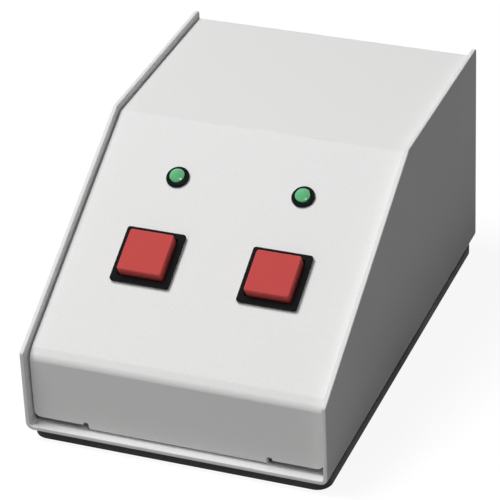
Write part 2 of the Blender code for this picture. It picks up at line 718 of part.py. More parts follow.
def make_terminals(side, place, material):
    """Makes the two solder blades of one switch, each with an eye near its end."""
    top = BLOCK_BOTTOM + BLADE_SEAT
    low = top - BLADE_LENGTH
    half, thin = BLADE_WIDTH / 2, BLADE_THICKNESS / 2
    for letter, x in blade_places().items():
        corners = [(x - half, top), (x - half, low), (x + half, low), (x + half, top)]
        outline = rounded_outline(corners, [0, BLADE_ROUNDING, BLADE_ROUNDING, 0])
        blade = prism(f"{side}_switch_terminal_{letter}", outline, -thin, thin, material, "Y", place)
        eye = circle((x, low + half), BLADE_EYE_RADIUS, EYE_SIDES)
        tool = prism(f"{side}_eye_{letter}", eye, -BLADE_THICKNESS, BLADE_THICKNESS, axis="Y", parent=place)
        combined(blade, tool)


def make_panel_clip(side, place, material):
    """Makes the square clip that locks the bezel from behind the panel."""
    size = PANEL_HOLE + 2 * CLIP_RIM
    top = -COVER_SHEET - SEAT_GAP
    clip = prism(f"{side}_panel_clip", rectangle(size, size), top - CLIP_THICKNESS, top, material, parent=place)
    inside = rectangle(PANEL_HOLE, PANEL_HOLE)
    return combined(clip, prism(f"{side}_clip_opening", inside, top - CLIP_THICKNESS - MM, top + MM, parent=place))


# Indicator lamps

def make_lamp_bezel(side, place, material):
    """Makes the lamp's bezel: a soft round rim with a slit tube behind the panel."""
    crown = (LENS_BORE_RADIUS + LAMP_FLANGE_RADIUS) / 2 - LAMP_CROWN_SHIFT
    corners = [
        (LED_BORE_RADIUS, -LAMP_TUBE_LENGTH),
        (LAMP_TUBE_RADIUS, -LAMP_TUBE_LENGTH),
        (LAMP_TUBE_RADIUS, SEAT_GAP),
        (LAMP_FLANGE_RADIUS, SEAT_GAP),
        (LAMP_FLANGE_RADIUS, LAMP_FLANGE_HEIGHT),
        (LENS_BORE_RADIUS, LAMP_FLANGE_HEIGHT),
        (LENS_BORE_RADIUS, -LENS_SEAT_DEPTH),
        (LED_BORE_RADIUS, -LENS_SEAT_DEPTH),
    ]
    outer_round = LAMP_FLANGE_RADIUS - crown
    inner_round = crown - LENS_BORE_RADIUS - LAMP_CROWN_FLAT
    radii = [0, 0, 0, 0, outer_round, inner_round, 0, 0]
    bezel = lathe(f"{side}_lamp_bezel", rounded_outline(corners, radii), FINE_SIDES, material, place)
    slots = bmesh.new()
    reach = LAMP_TUBE_RADIUS + MM
    low, high = -LAMP_TUBE_LENGTH - MM, -LAMP_TUBE_LENGTH + LAMP_SLOT_LENGTH
    extruded(slots, rectangle(2 * reach, LAMP_SLOT_WIDTH), low, high)
    return combined(bezel, finished(f"{side}_lamp_slot", slots, parent=place))


def make_lamp_lens(side, place, material):
    """Makes the green lens: a plug with a well rounded rim and a slightly raised crown."""
    low = -LENS_SEAT_DEPTH + SEAT_GAP
    soft = (LENS_RADIUS - LENS_RIM_ROUNDING, LENS_TOP - LENS_RIM_ROUNDING)
    rim = arc(soft, LENS_RIM_ROUNDING, 0.0, pi / 2, 2 * ARC_STEP)
    outline = [(0.0, low), (LENS_RADIUS, low), *rim, (0.0, LENS_TOP + LENS_CROWN)]
    return lathe(f"{side}_lamp_lens", outline, FINE_SIDES, material, place)


def make_lamp_led(side, place, material):
    """Makes the LED behind the lens: a domed body on a round flange."""
    base = -LAMP_TUBE_LENGTH - SEAT_GAP
    top = -LENS_SEAT_DEPTH
    shoulder = top - LED_RADIUS
    dome = arc((0.0, shoulder), LED_RADIUS, 0.0, pi / 2, 2 * ARC_STEP)[1:-1]
    outline = [
        (0.0, base - LED_FLANGE_THICKNESS),
        (LED_FLANGE_RADIUS, base - LED_FLANGE_THICKNESS),
        (LED_FLANGE_RADIUS, base),
        (LED_RADIUS, base),
        (LED_RADIUS, shoulder),
    ]
    return lathe(f"{side}_lamp_led", outline + dome + [(0.0, top)], FINE_SIDES, material, place)


def make_lamp_leads(side, place, material):
    """Makes the two square leads of one LED, the positive one longer."""
    top = -LAMP_TUBE_LENGTH - LED_FLANGE_THICKNESS - 2 * SEAT_GAP
    for letter, way, length in (("a", 1, LEAD_LENGTH), ("b", -1, LEAD_LENGTH - LEAD_STEP)):
        outline = rectangle(LEAD_WIDTH, LEAD_WIDTH, (way * LEAD_PITCH / 2, 0.0))
        prism(f"{side}_lamp_lead_{letter}", outline, top - length, top, material, parent=place)


def make_lamp_collar(side, place, material):
    """Makes the collar that is pushed over the tube behind the panel."""
    top = -COVER_SHEET - SEAT_GAP
    low = top - COLLAR_LENGTH
    inner, outer, cut = LAMP_HOLE_RADIUS, COLLAR_RADIUS, COLLAR_CHAMFER
    outline = [(inner, low), (outer - cut, low), (outer, low + cut), (outer, top), (inner, top)]
    return lathe(f"{side}_lamp_collar", outline, FINE_SIDES, material, place)


# Terminal strip

def strip_valleys():
    """Returns the X of the middle of each way of the strip."""
    return [(way - (STRIP_WAYS - 1) / 2) * STRIP_PITCH for way in range(STRIP_WAYS)]


def make_terminal_strip(material):
    """Makes the strip's body, a comb of barriers with an ear at each end."""
    half, ear = STRIP_LENGTH / 2, STRIP_LENGTH / 2 + STRIP_EAR
    low, deck, top = STRIP_BOTTOM, STRIP_BOTTOM + STRIP_DECK, STRIP_BOTTOM + STRIP_HEIGHT
    ear_top = STRIP_BOTTOM + STRIP_EAR_HEIGHT
    outline = [(-ear, low), (ear, low), (ear, ear_top), (half, ear_top), (half, top)]
    reach = (STRIP_PITCH - STRIP_BARRIER) / 2
    for x in reversed(strip_valleys()):
        outline += [(x + reach, top), (x + reach, deck), (x - reach, deck), (x - reach, top)]
    outline += [(-half, top), (-half, ear_top), (-ear, ear_top)]
    front, back = STRIP_Y - STRIP_WIDTH / 2, STRIP_Y + STRIP_WIDTH / 2
    strip = prism("terminal_strip", outline, front, back, material, axis="Y")
    return combined(strip, hole_tool("ear_holes", ear_places(), SCREW_HOLE_RADIUS, low - MM, ear_top + MM))


def make_strip_terminals(link_material, screw_material):
    """Makes the flat link of each way, and the two screws whose heads lie on it."""
    low = STRIP_BOTTOM + STRIP_DECK + SEAT_GAP
    head = low + LINK_THICKNESS + SEAT_GAP
    for number, x in enumerate(strip_valleys(), 1):
        link = rectangle(LINK_WIDTH, LINK_LENGTH, (x, STRIP_Y))
        prism(f"terminal_link_{number}", link, low, low + LINK_THICKNESS, link_material)
        for row, way in (("front", -1), ("back", 1)):
            y = STRIP_Y + way * LINK_SCREW_SPACING / 2
            outline = circle((x, y), LINK_SCREW_RADIUS, SMALL_SIDES)
            screw = prism(f"terminal_screw_{row}_{number}", outline, head, head + LINK_SCREW_HEIGHT, screw_material)
            slot = rectangle(3 * LINK_SCREW_RADIUS, RECESS_WIDTH, (x, y))
            depth = LINK_SCREW_HEIGHT / 2
            combined(screw, prism(f"slot_{row}_{number}", slot, head + depth, head + LINK_SCREW_HEIGHT + MM))


def make_strip_screws(material):
    """Makes the two screws that hold the strip's ears, which end flush with the floor's underside."""
    underside = STRIP_BOTTOM + STRIP_EAR_HEIGHT + SEAT_GAP
    for name, place in ear_places().items():
        pan_screw(f"strip_screw_{name}", place, underside, BASE_BOTTOM, material)


def main():
    """Builds the console."""
    clear_scene()
    paint = plain_material("powder_coat", (0.72, 0.72, 0.70), 0.5)
    rubber = plain_material("black_rubber", (0.03, 0.03, 0.03), 0.8)
    black = plain_material("black_plastic", (0.015, 0.015, 0.016), 0.45)
    red = plain_material("red_plastic", (0.53, 0.06, 0.06), 0.45)
    ivory = plain_material("ivory_plastic", (0.62, 0.58, 0.47), 0.5)
    green = plain_material("green_lens", (0.07, 0.45, 0.2), 0.2)
    steel = plain_material("zinc_steel", (0.62, 0.63, 0.64), 0.35, 1.0)
    brass = plain_material("tinned_brass", (0.66, 0.6, 0.45), 0.35, 1.0)

    sides = {"left": -PAIR_SPACING / 2, "right": PAIR_SPACING / 2}
    buttons = {side: panel_place(f"{side}_button_axis", x, BUTTON_UP) for side, x in sides.items()}
    lamps = {side: panel_place(f"{side}_lamp_axis", x, LAMP_UP) for side, x in sides.items()}

    make_base_pad(rubber)
    make_base_chassis(paint)
    make_cover(paint, buttons.values(), lamps.values())
    make_cover_fixings(steel)
    make_cable_grommet(rubber)
    for side, place in buttons.items():
        make_bezel(side, place, black)
        make_cap(side, place, red)
        make_plunger(side, place, ivory)
        make_spring(side, place, steel)
        make_contact_block(side, place, black)
        make_terminals(side, place, brass)
        make_panel_clip(side, place, steel)
    for side, place in lamps.items():
        make_lamp_bezel(side, place, black)
        make_lamp_lens(side, place, green)
        make_lamp_led(side, place, green)
        make_lamp_leads(side, place, brass)
        make_lamp_collar(side, place, black)
    make_terminal_strip(black)
    make_strip_terminals(brass, steel)
    make_strip_screws(steel)


main()
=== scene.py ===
"""Looks of the desk switch console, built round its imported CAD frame.

Lengths are metres in the frame's own axes: +X to the right, +Y to the back and +Z up.
"""

import logging
from abc import ABC, abstractmethod
from dataclasses import dataclass, field
from enum import Enum
from math import atan2, cos, pi, radians, sin, tan
from typing import ClassVar, Sequence

import bmesh
import bpy
from bmesh.types import BMesh, BMVert
from mathutils import Matrix, Vector

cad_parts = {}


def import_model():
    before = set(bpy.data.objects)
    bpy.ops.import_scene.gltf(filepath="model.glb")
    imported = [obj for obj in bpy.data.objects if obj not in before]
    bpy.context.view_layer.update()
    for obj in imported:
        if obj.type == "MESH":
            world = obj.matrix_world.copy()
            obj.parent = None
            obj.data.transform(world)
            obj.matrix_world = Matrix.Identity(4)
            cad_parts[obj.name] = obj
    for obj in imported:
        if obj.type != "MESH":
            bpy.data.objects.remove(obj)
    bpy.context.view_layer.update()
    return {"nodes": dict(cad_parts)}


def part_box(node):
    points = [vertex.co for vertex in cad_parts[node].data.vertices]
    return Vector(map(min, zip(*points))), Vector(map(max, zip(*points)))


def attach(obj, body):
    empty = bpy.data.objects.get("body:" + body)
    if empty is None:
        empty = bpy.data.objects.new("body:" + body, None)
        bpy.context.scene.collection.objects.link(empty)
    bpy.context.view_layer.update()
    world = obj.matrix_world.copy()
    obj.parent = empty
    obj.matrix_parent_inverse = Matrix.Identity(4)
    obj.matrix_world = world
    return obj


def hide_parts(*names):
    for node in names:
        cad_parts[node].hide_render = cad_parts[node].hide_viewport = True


LOG = logging.getLogger("console")
MM = 0.001

# How far a cutting tool runs past the faces it goes through.
OVERRUN = 1.0 * MM
# Points closer than this are one point, in a turned mesh and in one that was cut.
TURNED_WELD = 0.0005 * MM
CUT_WELD = 0.001 * MM
BEND_SEGMENTS = 10
# Faces that differ by less are one flat face, and edges sharper than the second stay sharp.
FLAT_ANGLE = radians(0.5)
SHARP_ANGLE = radians(50)

Point = tuple[float, float]
Color = tuple[float, float, float]
Socket = bpy.types.NodeSocket


class Axis(Enum):
    """The axis that an outline is extruded along."""

    X = "X"
    Y = "Y"
    Z = "Z"

    def point(self, u: float, v: float, along: float) -> Vector:
        """Places a point of an outline at a distance along this axis.

        Args:
            u: The outline's first coordinate.
            v: Its second coordinate.
            along: The distance along the axis.

        Returns:
            The point in the frame.
        """
        return {
            Axis.X: Vector((along, u, v)),
            Axis.Y: Vector((u, along, v)),
            Axis.Z: Vector((u, v, along)),
        }[self]

    def run(self, length: float) -> Vector:
        """Returns a run of this length along this axis."""
        return self.point(0.0, 0.0, length)


class Slot(Enum):
    """Material slots of the record."""

    POWDER_COAT = "powder_coat"
    BLACK_RUBBER = "black_rubber"
    BLACK_PLASTIC = "black_plastic"
    RED_PLASTIC = "red_plastic"
    IVORY_PLASTIC = "ivory_plastic"
    GREEN_LENS = "green_lens"
    ZINC_STEEL = "zinc_steel"
    TINNED_BRASS = "tinned_brass"


class Side(Enum):
    """The two columns of controls, by the sign of their X."""

    LEFT = -1
    RIGHT = 1

    @property
    def word(self) -> str:
        """The word that the frame's names use for this side."""
        return self.name.lower()


# Meshes

def round_corners(bm: BMesh, corners: Sequence[tuple[BMVert, float]], segments: int) -> None:
    """Rounds corners of a flat outline or an open path, each with its own radius.

    Args:
        bm: The mesh that holds them.
        corners: Each corner with its radius.
        segments: Segments of each rounding.
    """
    for vert, radius in corners:
        if radius <= 0.0:
            continue
        one, other = [edge.other_vert(vert).co - vert.co for edge in vert.link_edges]
        turn = pi - one.angle(other)
        bmesh.ops.bevel(
            bm,
            geom=[vert],
            offset=radius * tan(turn / 2),
            offset_type="OFFSET",
            segments=segments,
            profile=0.5,
            affect="VERTICES",
            material=-1,
        )


def prism(
    points: Sequence[Point],
    radii: Sequence[float],
    low: float,
    high: float,
    axis: Axis = Axis.Z,
    segments: int = 8,
) -> BMesh:
    """Makes a closed prism from an outline with rounded corners.

    Args:
        points: Corners of the outline, in order.
        radii: The radius of each corner, 0 for a sharp one.
        low: Where the prism starts along the axis.
        high: Where it ends.
        axis: The axis that it is extruded along.
        segments: Segments of each rounding.

    Returns:
        The new mesh.
    """
    bm = bmesh.new()
    verts = [bm.verts.new(axis.point(u, v, low)) for u, v in points]
    bm.faces.new(verts)
    round_corners(bm, list(zip(verts, radii)), segments)
    made = bmesh.ops.extrude_face_region(bm, geom=bm.faces[:])["geom"]
    far = [item for item in made if isinstance(item, BMVert)]
    bmesh.ops.translate(bm, verts=far, vec=axis.run(high - low))
    bmesh.ops.recalc_face_normals(bm, faces=bm.faces[:])
    return bm


def square(size: float, radius: float, low: float, high: float, segments: int = 8) -> BMesh:
    """Makes an upright square prism with rounded corners, centred on the axis.

    Args:
        size: The length of a side.
        radius: The radius of the corners.
        low: The height where it starts.
        high: The height where it ends.
        segments: Segments of each corner.

    Returns:
        The new mesh.
    """
    half = size / 2
    corners = [(-half, -half), (half, -half), (half, half), (-half, half)]
    return prism(corners, [radius] * 4, low, high, segments=segments)


def cylinder(
    radius: float, low: float, high: float, at: Point = (0.0, 0.0), sides: int = 48
) -> BMesh:
    """Makes an upright closed cylinder.

    Args:
        radius: Its radius.
        low: The height where it starts.
        high: The height where it ends.
        at: Where its middle is, seen from above.
        sides: Steps of its round side.

    Returns:
        The new mesh.
    """
    bm = bmesh.new()
    place = Matrix.Translation((*at, (low + high) / 2))
    bmesh.ops.create_cone(
        bm,
        cap_ends=True,
        segments=sides,
        radius1=radius,
        radius2=radius,
        depth=high - low,
        matrix=place,
    )
    return bm


def turned(
    points: Sequence[Point],
    radii: Sequence[float],
    closed: bool = True,
    sides: int = 72,
    segments: int = 6,
) -> BMesh:
    """Spins a profile of (radius, height) points round the Z axis.

    Args:
        points: The profile's points. An open profile starts and ends on the axis.
        radii: The rounding of each point, 0 for a sharp one.
        closed: Whether the profile is a loop, as of a ring.
        sides: Steps of the full turn.
        segments: Segments of each rounding.

    Returns:
        The new mesh.
    """
    bm = bmesh.new()
    verts = [bm.verts.new((radius, 0.0, height)) for radius, height in points]
    for start, end in zip(verts, verts[1:]):
        bm.edges.new((start, end))
    if closed:
        bm.edges.new((verts[-1], verts[0]))
    round_corners(bm, list(zip(verts, radii)), segments)
    bmesh.ops.spin(
        bm,
        geom=bm.verts[:] + bm.edges[:],
        cent=(0.0, 0.0, 0.0),
        axis=(0.0, 0.0, 1.0),
        angle=2 * pi,
        steps=sides,
        use_merge=True,
    )
    bmesh.ops.remove_doubles(bm, verts=bm.verts[:], dist=TURNED_WELD)
    bmesh.ops.recalc_face_normals(bm, faces=bm.faces[:])
    return bm


def folded(
    path: Sequence[Point], radii: Sequence[float], low: float, high: float, axis: Axis
) -> BMesh:
    """Folds an open sheet, still without thickness, along a path of its outer face.

    Args:
        path: Points of the outer face, in order.
        radii: The outer bend radius of each inner point.
        low: Where the sheet starts along the axis of the bends.
        high: Where it ends.
        axis: The axis of the bends.

    Returns:
        The new mesh.
    """
    bm = bmesh.new()
    verts = [bm.verts.new(axis.point(u, v, low)) for u, v in path]
    for start, end in zip(verts, verts[1:]):
        bm.edges.new((start, end))
    round_corners(bm, list(zip(verts[1:-1], radii)), BEND_SEGMENTS)
    made = bmesh.ops.extrude_edge_only(bm, edges=bm.edges[:])["geom"]
    far = [item for item in made if isinstance(item, BMVert)]
    bmesh.ops.translate(bm, verts=far, vec=axis.run(high - low))
    bmesh.ops.recalc_face_normals(bm, faces=bm.faces[:])
    return bm


class Workpiece:
    """A piece in the making: a mesh object that is cut, joined, softened and dressed."""

    def __init__(self, name: str, bm: BMesh) -> None:
        """Starts the piece from a mesh, which it frees.

        Args:
            name: The piece's name.
            bm: Its first shape.
        """
        mesh = bpy.data.meshes.new(name)
        bm.to_mesh(mesh)
        bm.free()
        self.obj = bpy.data.objects.new(name, mesh)
        bpy.context.scene.collection.objects.link(self.obj)

    def _apply(self) -> None:
        """Makes the result of the piece's modifiers its own mesh."""
        bpy.context.view_layer.update()
        graph = bpy.context.evaluated_depsgraph_get()
        mesh = bpy.data.meshes.new_from_object(self.obj.evaluated_get(graph))
        old = self.obj.data
        mesh.name = old.name
        self.obj.modifiers.clear()
        self.obj.data = mesh
        bpy.data.meshes.remove(old)

    def _combine(self, tool: BMesh, operation: str) -> "Workpiece":
        """Runs one Boolean with a tool and applies it.

        Args:
            tool: The other shape, which is used up.
            operation: The modifier's name of the operation.

        Returns:
            The same piece.
        """
        other = Workpiece(f"{self.obj.name}_tool", tool)
        modifier = self.obj.modifiers.new("Combine", "BOOLEAN")
        modifier.operation = operation
        modifier.solver = "EXACT"
        modifier.object = other.obj
        self._apply()
        bpy.data.meshes.remove(other.obj.data)
        return self

    def cut(self, tool: BMesh) -> "Workpiece":
        """Takes a tool away from the piece."""
        return self._combine(tool, "DIFFERENCE")

    def join(self, tool: BMesh) -> "Workpiece":
        """Adds a tool to the piece."""
        return self._combine(tool, "UNION")

    def trim(self, tool: BMesh) -> "Workpiece":
        """Keeps only what lies inside a tool."""
        return self._combine(tool, "INTERSECT")

    def thicken(self, thickness: float) -> "Workpiece":
        """Gives an open sheet its thickness, against its normals.

        Args:
            thickness: The thickness of the sheet.

        Returns:
            The same piece.
        """
        modifier = self.obj.modifiers.new("Sheet", "SOLIDIFY")
        modifier.thickness = thickness
        modifier.offset = -1.0
        modifier.use_even_offset = True
        self._apply()
        return self

    def ease(
        self, width: float, segments: int = 3, angle: float = 40.0, above: float = -1.0
    ) -> "Workpiece":
        """Rounds the edges that are sharper than an angle.

        Args:
            width: How far the rounding reaches from the edge.
            segments: Segments of the rounding.
            angle: The largest angle, in degrees, between the faces of an edge that stays.
            above: The height over which edges are rounded.

        Returns:
            The same piece.
        """
        bm = bmesh.new()
        bm.from_mesh(self.obj.data)
        bmesh.ops.remove_doubles(bm, verts=bm.verts[:], dist=CUT_WELD)
        bmesh.ops.dissolve_limit(
            bm, angle_limit=FLAT_ANGLE, verts=bm.verts[:], edges=bm.edges[:]
        )
        sharp = [
            edge
            for edge in bm.edges
            if edge.is_manifold
            and edge.calc_face_angle() > radians(angle)
            and min(vert.co.z for vert in edge.verts) > above
        ]
        bmesh.ops.bevel(
            bm,
            geom=sharp,
            offset=width,
            offset_type="OFFSET",
            segments=segments,
            profile=0.5,
            affect="EDGES",
            clamp_overlap=False,
            material=-1,
        )
        bm.to_mesh(self.obj.data)
        bm.free()
        return self

    def place(self, matrix: Matrix) -> "Workpiece":
        """Moves the mesh to its place in the frame."""
        self.obj.data.transform(matrix)
        return self

    def dress(self, finish: "Finish", body: str, *nodes: str) -> bpy.types.Object:
        """Gives the piece its finish, and puts it on its body in place of its nodes.

        Args:
            finish: The finish of its surface.
            body: The body it rides on.
            nodes: The nodes it stands for.

        Returns:
            The finished object.
        """
        mesh = self.obj.data
        mesh.shade_smooth()
        mesh.set_sharp_from_angle(angle=SHARP_ANGLE)
        weighted = self.obj.modifiers.new("Flat faces", "WEIGHTED_NORMAL")
        weighted.weight = 100
        weighted.keep_sharp = True
        mesh.materials.clear()
        mesh.materials.append(finish.material())
        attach(self.obj, body)
        if nodes:
            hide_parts(*nodes)
        faces = len(mesh.polygons)
        LOG.info("%s: %d faces on %s, %s", self.obj.name, faces, body, finish.slot.value)
        return self.obj


# Materials

class Wiring:
    """A node tree under construction."""

    def __init__(self, tree: bpy.types.NodeTree) -> None:
        """Starts from an existing tree."""
        self.tree = tree

    def node(self, kind: str, values: dict | None = None, **settings: object) -> bpy.types.Node:
        """Adds a node.

        Args:
            kind: The node's type name.
            values: What goes into its inputs, by name or number: constants or other outputs.
            settings: Its own settings.

        Returns:
            The new node.
        """
        node = self.tree.nodes.new(kind)
        for name, value in settings.items():
            setattr(node, name, value)
        for name, value in (values or {}).items():
            if isinstance(value, Socket):
                self.tree.links.new(value, node.inputs[name])
            else:
                node.inputs[name].default_value = value
        return node


class Effect(Enum):
    """Surface effects that more than one finish uses, each a node group."""

    GRAIN = "fine grain"
    HANDLING = "handling marks"


EFFECT_INPUTS = {
    Effect.GRAIN: {"Scale": 1000.0, "Detail": 3.0, "Dark": 0.97, "Light": 1.03},
    Effect.HANDLING: {"Scale": 30.0, "Low": 0.4, "High": 0.5},
}


def effect_group(effect: Effect) -> bpy.types.NodeTree:
    """Returns the node group of an effect, made the first time.

    Fine grain gives a shade around 1 to multiply a colour with, and a height from 0 to 1.
    Handling marks give a value from Low to High that drifts over the surface, as gloss does.

    Args:
        effect: The effect.

    Returns:
        Its group.
    """
    found = bpy.data.node_groups.get(effect.value)
    if found:
        return found
    group = bpy.data.node_groups.new(effect.value, "ShaderNodeTree")
    group.interface.new_socket("Vector", in_out="INPUT", socket_type="NodeSocketVector")
    for name, value in EFFECT_INPUTS[effect].items():
        socket = group.interface.new_socket(name, in_out="INPUT", socket_type="NodeSocketFloat")
        socket.default_value = value
    wiring = Wiring(group)
    given = wiring.node("NodeGroupInput").outputs
    if effect is Effect.GRAIN:
        names = ("Shade", "Height")
        noise = wiring.node(
            "ShaderNodeTexNoise",
            {
                "Vector": given["Vector"],
                "Scale": given["Scale"],
                "Detail": given["Detail"],
                "Roughness": 0.6,
            },
        )
        shade = wiring.node(
            "ShaderNodeMapRange",
            {
                "Value": noise.outputs[0],
                "From Min": 0.25,
                "From Max": 0.75,
                "To Min": given["Dark"],
                "To Max": given["Light"],
            },
        )
        results = (shade.outputs[0], noise.outputs[0])
    else:
        names = ("Value",)
        broad = wiring.node(
            "ShaderNodeTexNoise",
            {
                "Vector": given["Vector"],
                "Scale": given["Scale"],
                "Detail": 5.0,
                "Distortion": 0.6,
            },
        )
        value = wiring.node(
            "ShaderNodeMapRange",
            {
                "Value": broad.outputs[0],
                "From Min": 0.3,
                "From Max": 0.7,
                "To Min": given["Low"],
                "To Max": given["High"],
            },
        )
        results = (value.outputs[0],)
    out = wiring.node("NodeGroupOutput")
    for name, result in zip(names, results):
        group.interface.new_socket(name, in_out="OUTPUT", socket_type="NodeSocketFloat")
        group.links.new(result, out.inputs[name])
    return group


@dataclass(frozen=True)
class Finish(ABC):
    """A finish of a surface, which makes one material.

    Its marks are the scale of the handling marks and how far they change the roughness.
    """

    marks: ClassVar[tuple[float, float]]

    slot: Slot
    color: Color
    roughness: float

    @abstractmethod
    def wire(self, wiring: Wiring, shader: bpy.types.Node) -> None:
        """Adds the finish's nodes and settings to a new material.

        Args:
            wiring: The material's nodes.
            shader: Its Principled shader.
        """

    def material(self) -> bpy.types.Material:
        """Makes the finish's material the first time, and finds it again later.

        Returns:
            The material.
        """
        name = f"{self.slot.value}_finish"
        found = bpy.data.materials.get(name)
        if found:
            return found
        material = bpy.data.materials.new(name)
        material.use_nodes = True
        shader = material.node_tree.nodes["Principled BSDF"]
        shader.inputs["Base Color"].default_value = (*self.color, 1.0)
        shader.inputs["Roughness"].default_value = self.roughness
        self.wire(Wiring(material.node_tree), shader)
        return material

    def effect(self, wiring: Wiring, effect: Effect, inputs: dict[str, float]) -> bpy.types.Node:
        """Adds an effect's group on Object coordinates.

        Args:
            wiring: The material's nodes.
            effect: The effect.
            inputs: The values of the group's inputs.

        Returns:
            The group's node.
        """
        place = wiring.node("ShaderNodeTexCoord").outputs["Object"]
        node = wiring.node("ShaderNodeGroup", node_tree=effect_group(effect))
        wiring.tree.links.new(place, node.inputs["Vector"])
        for name, value in inputs.items():
            node.inputs[name].default_value = value
        return node

    def grain(self, wiring: Wiring, **inputs: float) -> bpy.types.Node:
        """Adds the fine grain, with its inputs given in small letters."""
        named = {name.capitalize(): value for name, value in inputs.items()}
        return self.effect(wiring, Effect.GRAIN, named)

    def bump(self, wiring: Wiring, grain: bpy.types.Node, strength: float, depth: float) -> Socket:
        """Returns a normal that follows a grain, whose full height is that depth."""
        values = {"Height": grain.outputs["Height"], "Strength": strength, "Distance": depth}
        return wiring.node("ShaderNodeBump", values).outputs["Normal"]

    def lead(
        self,
        wiring: Wiring,
        shader: bpy.types.Node,
        grain: bpy.types.Node,
        normal: Socket | None = None,
    ) -> None:
        """Leads the colour, the gloss and the relief to the shader.

        Args:
            wiring: The material's nodes.
            shader: Its Principled shader.
            grain: The grain whose shade the colour is multiplied with.
            normal: The relief, where there is one.
        """
        values = {"Vector": self.color, "Scale": grain.outputs["Shade"]}
        tint = wiring.node("ShaderNodeVectorMath", values, operation="SCALE").outputs[0]
        scale, spread = self.marks
        levels = {"Low": self.roughness - spread, "High": self.roughness + spread}
        gloss = self.effect(wiring, Effect.HANDLING, {"Scale": scale, **levels}).outputs["Value"]
        wiring.tree.links.new(tint, shader.inputs["Base Color"])
        wiring.tree.links.new(gloss, shader.inputs["Roughness"])
        if normal:
            wiring.tree.links.new(normal, shader.inputs["Normal"])


@dataclass(frozen=True)
class PowderCoat(Finish):
    """Powder coat with a faint speckle and orange peel."""

    marks = (28.0, 0.05)

    specular: float
    speckle_scale: float
    peel_scale: float
    peel_depth: float

    def wire(self, wiring: Wiring, shader: bpy.types.Node) -> None:
        """Adds the speckle, the peel and the drift of the gloss.

        Args:
            wiring: The material's nodes.
            shader: Its Principled shader.
        """
        speckle = self.grain(wiring, scale=self.speckle_scale, detail=2.0, dark=0.965, light=1.03)
        peel = self.grain(wiring, scale=self.peel_scale, detail=1.0)
        normal = self.bump(wiring, peel, strength=0.35, depth=self.peel_depth)
        shader.inputs["Specular IOR Level"].default_value = self.specular
        self.lead(wiring, shader, speckle, normal)


@dataclass(frozen=True)
class Moulded(Finish):
    """Injection moulded plastic with a spark-eroded grain."""

    marks = (120.0, 0.06)

    specular: float = 0.4
    grain_scale: float = 1600.0
    grain_depth: float = 0.03 * MM

    def wire(self, wiring: Wiring, shader: bpy.types.Node) -> None:
        """Adds the grain, a faint flow of the colour and wandering gloss.

        Args:
            wiring: The material's nodes.
            shader: Its Principled shader.
        """
        grain = self.grain(wiring, scale=self.grain_scale, detail=3.0, dark=0.95, light=1.05)
        normal = self.bump(wiring, grain, strength=0.3, depth=self.grain_depth)
        shader.inputs["Specular IOR Level"].default_value = self.specular
        self.lead(wiring, shader, grain, normal)


@dataclass(frozen=True)
class Rubber(Finish):
    """Rubber with a dull, dusty grain that also mottles its colour."""

    marks = (60.0, 0.08)

    specular: float
    grain_scale: float
    grain_depth: float

    def wire(self, wiring: Wiring, shader: bpy.types.Node) -> None:
        """Adds the coarse grain and the drift of the gloss.

        Args:
            wiring: The material's nodes.
            shader: Its Principled shader.
        """
        grain = self.grain(wiring, scale=self.grain_scale, detail=5.0, dark=0.75, light=1.35)
        normal = self.bump(wiring, grain, strength=0.5, depth=self.grain_depth)
        shader.inputs["Specular IOR Level"].default_value = self.specular
        self.lead(wiring, shader, grain, normal)


@dataclass(frozen=True)
class Lens(Finish):
    """Milky lens plastic, polished outside."""

    marks = (300.0, 0.03)

    depth: float
    depth_by_color: Color
    polish: float

    def wire(self, wiring: Wiring, shader: bpy.types.Node) -> None:
        """Adds the depth of the milky plastic and a trace of flow.

        Args:
            wiring: The material's nodes.
            shader: Its Principled shader.
        """
        constants = {
            "Subsurface Weight": 1.0,
            "Subsurface Radius": self.depth_by_color,
            "Subsurface Scale": self.depth,
            "Coat Weight": 1.0,
            "Coat Roughness": self.polish,
        }
        for socket, value in constants.items():
            shader.inputs[socket].default_value = value
        flow = self.grain(wiring, scale=500.0, detail=2.0, dark=0.96, light=1.04)
        self.lead(wiring, shader, flow)


@dataclass(frozen=True)
class Plated(Finish):
    """Plated metal with a fine crystalline bloom."""

    marks = (250.0, 0.1)

    bloom_scale: float = 900.0
    bloom_depth: float = 0.03 * MM

    def wire(self, wiring: Wiring, shader: bpy.types.Node) -> None:
        """Adds the bloom of the plating in colour, gloss and height.

        Args:
            wiring: The material's nodes.
            shader: Its Principled shader.
        """
        bloom = self.grain(wiring, scale=self.bloom_scale, detail=6.0, dark=0.86, light=1.1)
        normal = self.bump(wiring, bloom, strength=0.25, depth=self.bloom_depth)
        shader.inputs["Metallic"].default_value = 1.0
        self.lead(wiring, shader, bloom, normal)


